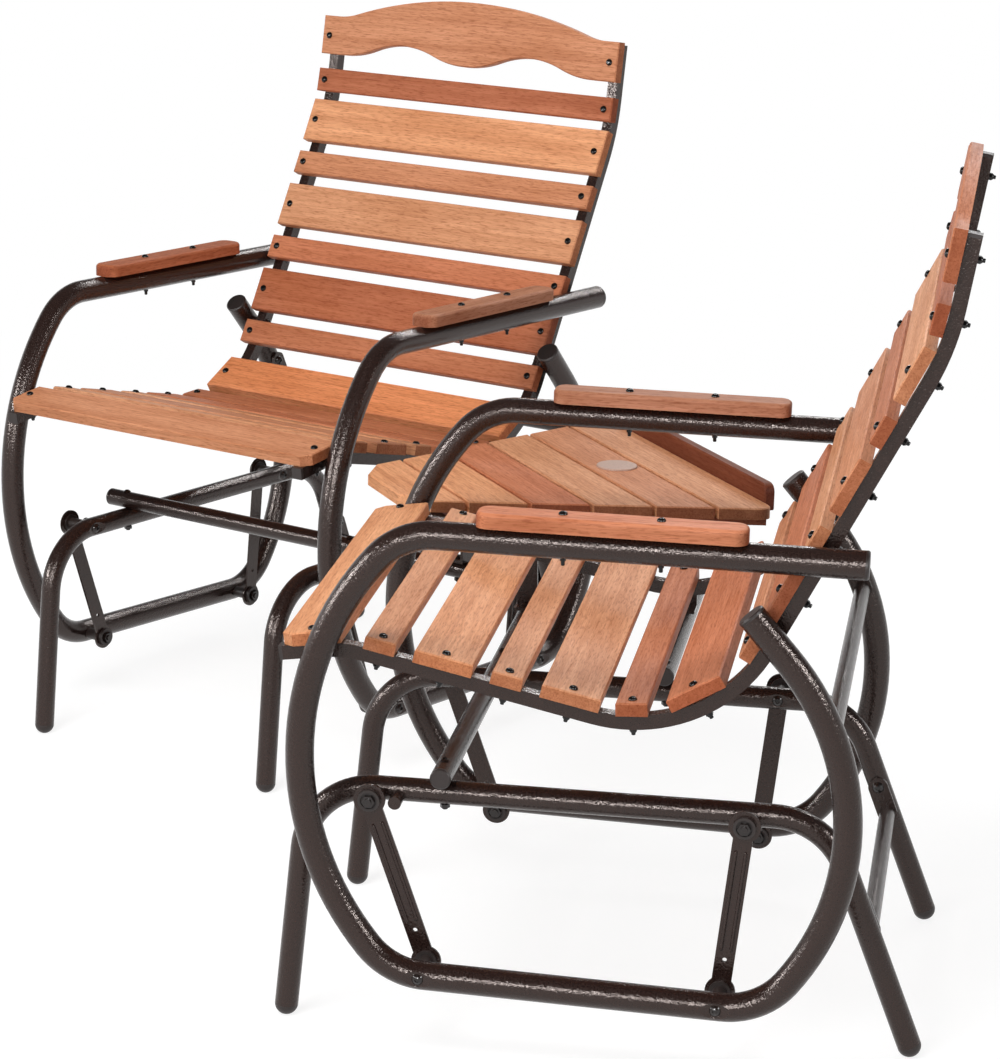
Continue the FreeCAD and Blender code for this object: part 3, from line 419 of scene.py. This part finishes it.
# The table's board ends take the darkest tint: end grain with a painted shade of the chair beside the
# table.
table_wood = hardwood("table_wood", no_turn, "x", "y", table_gaps, table_tones, TABLE_END_GRAIN_AND_SHADE)
boards.update({node: table_wood for node in table_slats})
boards["table_back_board"] = hardwood("table_board_wood", no_turn, "x", "y", [0.0], [UMBER, UMBER])
boards["table_cleats"] = hardwood("table_cleat_wood", no_turn, "y", "x", [0.0], [UMBER, UMBER])


def give_finish(names, material):
    for name in names:
        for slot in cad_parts[name].material_slots:
            slot.material = material


for name, material in boards.items():
    give_finish([name], material)
print("wooden nodes:", len(boards))

# %% [markdown]
# ## Hammered bronze
# The tubes have a powder coat that dries into a hammered skin: dark brown, with small smooth bumps that
# break each highlight into sparks. A cell texture gives bumps of about two millimetres, and a finer noise
# makes them uneven. The colour itself hardly changes: what we see is gloss, so the bumps do the work.


# %% Hammered bronze
def hammered(name, colour, cell, height):
    material, tree = new_material(name)
    where = add_node(tree, "ShaderNodeTexCoord")
    cells = add_node(tree, "ShaderNodeTexVoronoi", {"Vector": where.outputs["Object"], "Scale": 1 / cell,
                                                    "Smoothness": 0.7}, feature="SMOOTH_F1")
    flow = add_node(tree, "ShaderNodeTexNoise", {"Vector": where.outputs["Object"], "Scale": 0.8 / cell,
                                                 "Detail": 3.0, "Roughness": 0.6})
    skin = add_node(tree, "ShaderNodeMath", {0: cells.outputs["Distance"], 1: flow.outputs["Fac"]},
                    operation="ADD")
    relief = add_node(tree, "ShaderNodeBump", {"Height": skin.outputs[0], "Strength": 0.6,
                                               "Distance": height})
    tone = add_node(tree, "ShaderNodeValToRGB", {"Fac": flow.outputs["Fac"]})
    tone.color_ramp.elements[0].position, tone.color_ramp.elements[1].position = 0.3, 0.72
    tone.color_ramp.elements[0].color = (*[v * 0.85 for v in colour], 1)
    tone.color_ramp.elements[1].color = (*[v * 1.15 for v in colour], 1)
    dull = add_node(tree, "ShaderNodeMapRange", {"Value": flow.outputs["Fac"], "From Min": 0.3,
                                                 "From Max": 0.7, "To Min": 0.13, "To Max": 0.27})
    shader = add_node(tree, "ShaderNodeBsdfPrincipled",
                      {"Base Color": tone.outputs["Color"], "Roughness": dull.outputs["Result"],
                       "Normal": relief.outputs["Normal"], "Specular IOR Level": 0.50,
                       "Specular Tint": (1.0, 0.87, 0.82, 1)})
    finish_material(tree, shader.outputs["BSDF"])
    return material


BRONZE = (0.021, 0.0105, 0.0085)
bronze = hammered("hammered_bronze", BRONZE, cell=0.0023, height=0.0005)
link_coat = hammered("link_coat", BRONZE, cell=0.0024, height=0.0004)
tube_words = ("side_frame", "slat_rail", "base_outer", "base_inner", "cross_tube", "rear_support", "brace",
              "table_posts", "stop_pins")
tubes = [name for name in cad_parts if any(word in name for word in tube_words)]
links = [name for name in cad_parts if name.endswith("_links")]
give_finish(tubes, bronze)
give_finish(links, link_coat)
print("coated tubes:", len(tubes), "links:", len(links))

# %% [markdown]
# ## Bolts, plastic plugs and the umbrella plug
# The slat bolts are black oxide steel with a faint oily sheen, and the bolts of the frame and the pivots
# are browned like the tubes. The tube plugs, feet and bushes are dull moulded plastic with a fine grain.
# The round plug in the table is a pale plastic disc. One recipe makes all four, with other numbers.


# %% Bolts and plastics
def fine_grained(name, colour, rough, grain_size, height, shine):
    material, tree = new_material(name)
    where = add_node(tree, "ShaderNodeTexCoord")
    grain = add_node(tree, "ShaderNodeTexNoise", {"Vector": where.outputs["Object"],
                                                  "Scale": 1 / grain_size, "Detail": 3.0})
    tone = add_node(tree, "ShaderNodeValToRGB", {"Fac": grain.outputs["Fac"]})
    tone.color_ramp.elements[0].position, tone.color_ramp.elements[1].position = 0.3, 0.7
    tone.color_ramp.elements[0].color = (*[v * 0.8 for v in colour], 1)
    tone.color_ramp.elements[1].color = (*[v * 1.15 for v in colour], 1)
    dull = add_node(tree, "ShaderNodeMapRange", {"Value": grain.outputs["Fac"], "From Min": 0.3,
                                                 "From Max": 0.7, "To Min": rough - 0.06,
                                                 "To Max": rough + 0.06})
    relief = add_node(tree, "ShaderNodeBump", {"Height": grain.outputs["Fac"], "Strength": 0.3,
                                               "Distance": height})
    shader = add_node(tree, "ShaderNodeBsdfPrincipled",
                      {"Base Color": tone.outputs["Color"], "Roughness": dull.outputs["Result"],
                       "Normal": relief.outputs["Normal"], "Specular IOR Level": shine})
    finish_material(tree, shader.outputs["BSDF"])
    return material


black_steel = fine_grained("black_steel", (0.004, 0.0032, 0.003), rough=0.15, grain_size=0.002,
                           height=0.00005, shine=0.36)
brown_steel = fine_grained("brown_steel", (0.014, 0.0078, 0.0064), rough=0.18, grain_size=0.002,
                           height=0.00008, shine=0.5)
dark_plastic = fine_grained("dark_plastic", (0.024, 0.015, 0.013), rough=0.45, grain_size=0.0012,
                            height=0.0002, shine=0.45)
pale_plastic = fine_grained("pale_plastic", (0.50, 0.33, 0.26), rough=0.45, grain_size=0.0015,
                            height=0.0001, shine=0.3)
plastic_words = ("bushings", "_plugs", "foot_caps")
bolts = [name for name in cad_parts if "bolts" in name]
plugs = [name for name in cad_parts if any(word in name for word in plastic_words)]
give_finish(bolts, brown_steel)
give_finish(plugs, dark_plastic)
give_finish(["umbrella_plug"], pale_plastic)
left_over = set(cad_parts) - set(boards) - set(tubes) - set(links) - set(bolts) - set(plugs)
print("bolts:", len(bolts), "plugs and bushes:", len(plugs), "others:", left_over)

# %% [markdown]
# ## A bolt to repeat
# Every slat is held by a dome-headed bolt at each end, with a lock nut behind the rail. One bolt is a
# turned profile: rings of points around an axis, joined by faces. Where a ring has to be a hexagon, for the
# socket and the nut, its radius changes with the angle. All bolts of a chair go into one mesh, which rides
# on the seat.

# %% Turned profiles
RING = 24


def hexagon_radius(across_flats, angle):
    return across_flats / 2 / math.cos((angle % (math.pi / 3)) - math.pi / 6)


def turn_profile(mesh, place, profile):
    """Adds a turned solid to a bmesh. The profile is a list of (radius, height, is_hexagon) from the bottom
    to the top; a hexagon's radius is half its width across flats."""
    rings = []
    for radius, height, is_hexagon in profile:
        ring = []
        for i in range(RING):
            angle = 2 * math.pi * i / RING
            reach = hexagon_radius(2 * radius, angle) if is_hexagon else radius
            corner = Vector((reach * math.cos(angle), reach * math.sin(angle), height))
            ring.append(mesh.verts.new(place @ corner))
        rings.append(ring)
    mesh.faces.new(list(reversed(rings[0])))
    for low, high in zip(rings, rings[1:]):
        for i in range(RING):
            mesh.faces.new((low[i], low[(i + 1) % RING], high[(i + 1) % RING], high[i]))
    mesh.faces.new(rings[-1])


mm = 0.001
dome_head = [(5.0 * mm, -0.2 * mm, False), (5.0 * mm, 0.6 * mm, False), (4.6 * mm, 1.9 * mm, False),
             (3.7 * mm, 2.9 * mm, False), (2.6 * mm, 3.5 * mm, False), (2.0 * mm, 3.6 * mm, False),
             (1.5 * mm, 3.6 * mm, True), (1.5 * mm, 1.8 * mm, True)]
lock_nut = [(4.0 * mm, -0.2 * mm, True), (4.0 * mm, 3.4 * mm, True), (3.5 * mm, 4.0 * mm, False),
            (3.2 * mm, 5.0 * mm, False), (2.4 * mm, 5.3 * mm, False), (2.3 * mm, 7.4 * mm, False),
            (1.9 * mm, 7.9 * mm, False)]
slim_nut = [(2.9 * mm, -0.4 * mm, True), (2.9 * mm, 2.6 * mm, True), (2.3 * mm, 2.9 * mm, False),
            (2.2 * mm, 7.0 * mm, False), (1.7 * mm, 7.6 * mm, False)]


def facing(point, direction):
    """Matrix that sets a piece, drawn along +Z, at a point with its axis along a direction."""
    return Matrix.Translation(point) @ direction.to_track_quat("Z", "Y").to_matrix().to_4x4()


SHARP_EDGE = math.radians(38)


def to_object(mesh, name, material, body):
    bmesh.ops.recalc_face_normals(mesh, faces=mesh.faces)
    data = bpy.data.meshes.new(name)
    mesh.to_mesh(data)
    mesh.free()
    for face in data.polygons:
        face.use_smooth = True
    data.set_sharp_from_angle(angle=SHARP_EDGE)
    data.materials.append(material)
    piece = bpy.data.objects.new(name, data)
    bpy.context.collection.objects.link(piece)
    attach(piece, body)


print("rings of the bolt head:", len(dome_head), "nut:", len(lock_nut), "slim nut:", len(slim_nut))

# %% [markdown]
# ## Bolts on the slats
# The slats know where they are, so we ask the model again. The largest face of each board gives its
# direction, and a ray from behind finds the back of the rail for the nut. This way the bolts sit on the
# surfaces, also where a slat lies in a bend.


# %% Slat bolts
def surface_tree(*nodes):
    points, faces = [], []
    for node in nodes:
        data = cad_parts[node].data
        start = len(points)
        points += [vertex.co.copy() for vertex in data.vertices]
        faces += [[start + index for index in face.vertices] for face in data.polygons]
    return BVHTree.FromPolygons(points, faces)


BOLT_HALF = 0.2605
CREST_BOLT_UP = 0.028
BOLT_REACH = 0.08
TO_SITTER = Vector((0, -0.8, 0.6))
for side, place in chairs.items():
    mesh = bmesh.new()
    rails = surface_tree(side + "_slat_rail_outer", side + "_slat_rail_inner")
    across = (place.to_3x3() @ Vector((1, 0, 0))).normalized()
    sitter = (place.to_3x3() @ TO_SITTER).normalized()
    middle = place.translation
    count = 0
    for node in seat_nodes + back_nodes:
        for points, normal in loose_boards(side + "_" + node):
            out = normal if normal.dot(sitter) > 0 else -normal
            along = across.cross(out).normalized()
            along = along if along.z > 0 else -along
            top = max(point.dot(out) for point in points)
            heights = [point.dot(along) for point in points]
            level = (min(heights) + max(heights)) / 2
            if node == "crest_slat":
                level = min(heights) + CREST_BOLT_UP
            for sign in (-1, 1):
                sideways = middle.dot(across) + sign * BOLT_HALF
                head_at = across * sideways + along * level + out * top
                turn_profile(mesh, facing(head_at, out), dome_head)
                hit = rails.ray_cast(head_at - out * BOLT_REACH, out, BOLT_REACH)[0]
                turn_profile(mesh, facing(hit, -out), lock_nut)
                count += 1
    to_object(mesh, side + "_slat_bolts", black_steel, side + "_seat")
    print(side, "slat bolts:", count)

# %% [markdown]
# ## Bolts through the arm boards
# Two bolts hold each arm board on its tube. A ray from above finds the top of the board, and one from below
# finds the tube.

# %% Arm bolts
ARM_BOLTS = (0.281, 0.386)
ARM_HALF = 0.292
ABOVE_ARMS, BELOW_ARMS = 0.7, 0.53
down = Vector((0, 0, -1))
for side, place in chairs.items():
    mesh = bmesh.new()
    wood = surface_tree(side + "_arm_boards")
    tube = surface_tree(side + "_side_frame_outer", side + "_side_frame_inner")
    count = 0
    for x in (-ARM_HALF, ARM_HALF):
        for y in ARM_BOLTS:
            head_at = wood.ray_cast(place @ Vector((x, y, ABOVE_ARMS)), down)[0]
            nut_at = tube.ray_cast(place @ Vector((x, y, BELOW_ARMS)), -down)[0]
            turn_profile(mesh, facing(head_at, -down), dome_head)
            turn_profile(mesh, facing(nut_at, down), slim_nut)
            count += 1
    to_object(mesh, side + "_arm_bolts", black_steel, side + "_seat")
    print(side, "arm bolts:", count)

# %% [markdown]
# ## Screws under the table
# The table's boards are held from below, so their top stays clean. One screw goes up through each cleat
# into each board, on the line from the middle of the cleat's front end to the middle of its rear end. A ray
# from below finds the wood, and a screw moves aside where a post is in its way.

# %% Table screws
POST_CLEARANCE = 0.009
END_ROOM = 0.009
SIDE_STEPS = (0, -0.02, 0.02)
RAY_START = 0.1
mesh = bmesh.new()
cleats = surface_tree("table_cleats")
posts = surface_tree("table_posts", "base_bolts")
count = 0
for points, _ in loose_boards("table_cleats"):
    corners = {tuple(round(v, 5) for v in point) for point in points}
    corners = sorted(corners, key=lambda corner: corner[1])
    front, rear = [sum(map(Vector, end), Vector()) / len(end) for end in (corners[:4], corners[4:])]
    for node in table_slats:
        width = [vertex.co.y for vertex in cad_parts[node].data.vertices]
        for shift in SIDE_STEPS:
            y = max((min(width) + max(width)) / 2 + shift, front.y + END_ROOM)
            spot = front.lerp(rear, (y - front.y) / (rear.y - front.y))
            screw_at = cleats.ray_cast(spot + down * RAY_START, -down)[0]
            if not screw_at or posts.find_nearest(screw_at)[3] < POST_CLEARANCE:
                continue
            if surface_tree(node).ray_cast(screw_at, -down)[0]:
                turn_profile(mesh, facing(screw_at, down), dome_head)
                count += 1
                break
to_object(mesh, "table_screws", black_steel, "base")
print("table screws:", count)
